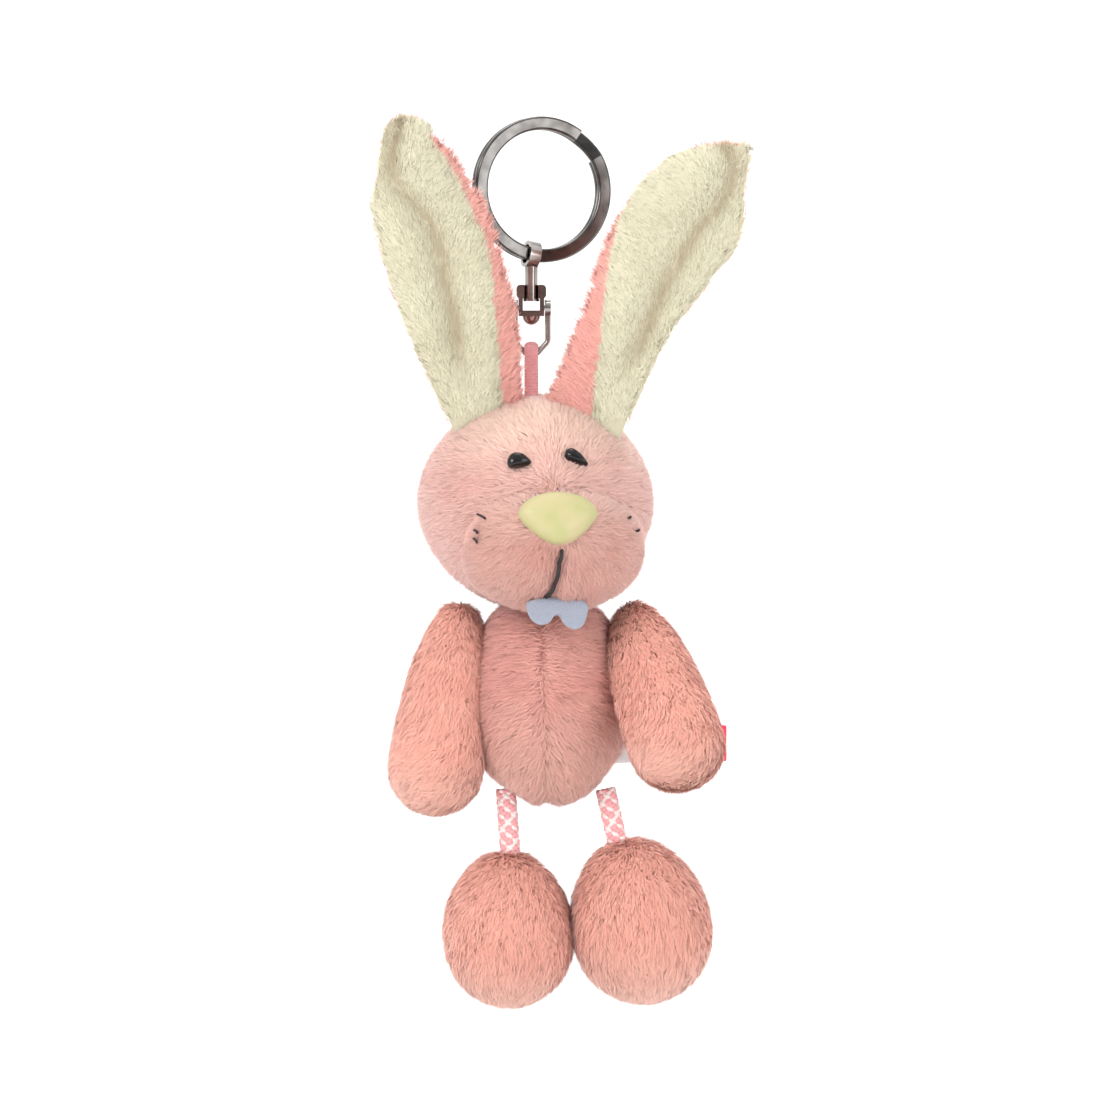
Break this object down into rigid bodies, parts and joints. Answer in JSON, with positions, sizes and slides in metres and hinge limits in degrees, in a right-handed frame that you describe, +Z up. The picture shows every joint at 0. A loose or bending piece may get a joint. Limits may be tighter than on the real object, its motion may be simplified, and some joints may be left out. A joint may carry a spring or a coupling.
{
  "type": "plush keychain",
  "caption": "Small plush rabbit with long lined ears, a satin nose, rope legs and round feet, hanging from a swivel on a split key ring.",
  "frame": {"origin": "inside of the split ring, straight above the swivel, where a hook carries the keychain", "axes": "+Z up along the hanging line, +X to the right seen from the front, -Y towards the viewer's front"},
  "size_m": [0.064, 0.0453, 0.1523],
  "materials": {
    "ring_steel": "polished nickel-plated spring steel",
    "swivel_nickel": "polished nickel plate",
    "cord_pink": "ribbed polyester cord",
    "rope_pink_white": "braided pink and white rope",
    "plush_head": "short pile plush, light pink",
    "plush_body": "short pile plush, pink",
    "plush_limb": "short pile plush, coral pink",
    "plush_cream": "short pile plush, cream",
    "satin_nose": "satin, pale yellow",
    "bead_black": "gloss black",
    "washer_white": "moulded",
    "thread_black": "embroidery thread",
    "thread_pink": "sewing thread",
    "felt_white": "felt, bluish white",
    "stuffing_white": "polyester fibre filling",
    "tag_red": "woven tape, plain red",
    "label_white": "satin tape, plain white"
  },
  "bodies": {
    "ring": {"split_ring": "ring_steel"},
    "eye": {"swivel_eye": "swivel_nickel"},
    "cage": {"swivel_cage": "swivel_nickel", "swivel_rivet": "swivel_nickel"},
    "loop": {"wire_loop": "swivel_nickel"},
    "hang_cord": {"hang_loop": "cord_pink"},
    "head": {"head_left_face_panel": "plush_head", "head_right_face_panel": "plush_head", "head_back_panel": "plush_head", "muzzle_panel": "plush_head", "head_stuffing": "stuffing_white", "left_eye": "bead_black", "right_eye": "bead_black", "eye_washers": "washer_white", "nose": "satin_nose", "mouth_thread": "thread_black", "whisker_stitches": "thread_black", "teeth": "felt_white"},
    "left_ear": {"left_ear_lining": "plush_cream", "left_ear_back": "plush_limb"},
    "right_ear": {"right_ear_lining": "plush_cream", "right_ear_back": "plush_limb"},
    "torso": {"torso_left_front_panel": "plush_body", "torso_right_front_panel": "plush_body", "torso_back_panel": "plush_body", "torso_stuffing": "stuffing_white", "neck_thread": "thread_pink", "tail": "plush_limb", "care_label": "label_white"},
    "left_arm": {"left_arm_outer_panel": "plush_limb", "left_arm_inner_panel": "plush_limb", "left_arm_stuffing": "stuffing_white"},
    "right_arm": {"right_arm_outer_panel": "plush_limb", "right_arm_inner_panel": "plush_limb", "right_arm_stuffing": "stuffing_white", "side_tag": "tag_red"},
    "left_leg": {"left_leg_cord": "rope_pink_white"},
    "right_leg": {"right_leg_cord": "rope_pink_white"},
    "left_foot": {"left_foot_upper": "plush_limb", "left_foot_sole": "plush_limb", "left_foot_stuffing": "stuffing_white"},
    "right_foot": {"right_foot_upper": "plush_limb", "right_foot_sole": "plush_limb", "right_foot_stuffing": "stuffing_white"}
  },
  "joints": [
    {"name": "ring_swing", "type": "hinge", "parent": "ring", "child": "eye", "pos_m": [0, 0, -0.02121], "axis": [0.9141, 0.3693, -0.1674], "range_deg": [-6, 90]},
    {"name": "swivel_turn", "type": "hinge", "parent": "eye", "child": "cage", "pos_m": [0, 0, -0.029], "axis": [0, 0, 1], "continuous": true},
    {"name": "loop_swing", "type": "hinge", "parent": "cage", "child": "loop", "pos_m": [0, 0, -0.0303], "axis": [1, 0, 0], "range_deg": [-6, 45]},
    {"name": "cord_swing", "type": "hinge", "parent": "loop", "child": "hang_cord", "pos_m": [0, 0, -0.03833], "axis": [1, 0, 0], "range_deg": [-6, 45]},
    {"name": "head_tilt", "type": "hinge", "parent": "hang_cord", "child": "head", "pos_m": [0, 0, -0.0454], "axis": [0, 1, 0], "range_deg": [-15, 15]},
    {"name": "left_ear_fold", "type": "hinge", "parent": "head", "child": "left_ear", "pos_m": [-0.008, -0.005, -0.04573], "axis": [0.8988, 0, 0.4384], "range_deg": [-8, 60], "stiffness_Nm_per_rad": 0.003},
    {"name": "right_ear_fold", "type": "hinge", "parent": "head", "child": "right_ear", "pos_m": [0.0108, -0.005, -0.04672], "axis": [0.9063, 0, -0.4226], "range_deg": [-8, 60], "stiffness_Nm_per_rad": 0.003},
    {"name": "neck_turn", "type": "hinge", "parent": "head", "child": "torso", "pos_m": [0.0028, 0.0025, -0.0829], "axis": [0, 0, 1], "range_deg": [-20, 20], "stiffness_Nm_per_rad": 0.004},
    {"name": "left_arm_lift", "type": "hinge", "parent": "torso", "child": "left_arm", "pos_m": [-0.01257, 0.0005, -0.08434], "axis": [0, 1, 0], "range_deg": [0, 50]},
    {"name": "right_arm_lift", "type": "hinge", "parent": "torso", "child": "right_arm", "pos_m": [0.01787, 0, -0.08434], "axis": [0, -1, 0], "range_deg": [0, 50]},
    {"name": "left_leg_swing", "type": "hinge", "parent": "torso", "child": "left_leg", "pos_m": [-0.0044, 0.002, -0.11344], "axis": [0.9745, 0, 0.2245], "range_deg": [-35, 35]},
    {"name": "right_leg_swing", "type": "hinge", "parent": "torso", "child": "right_leg", "pos_m": [0.0127, 0.002, -0.11344], "axis": [0.9745, 0, 0.2245], "range_deg": [-35, 35]},
    {"name": "left_foot_tilt", "type": "hinge", "parent": "left_leg", "child": "left_foot", "pos_m": [-0.0036, 0.002, -0.12344], "axis": [0, 1, 0], "range_deg": [0, 20]},
    {"name": "right_foot_tilt", "type": "hinge", "parent": "right_leg", "child": "right_foot", "pos_m": [0.015, 0.002, -0.12244], "axis": [0, -1, 0], "range_deg": [0, 20]}
  ]
}
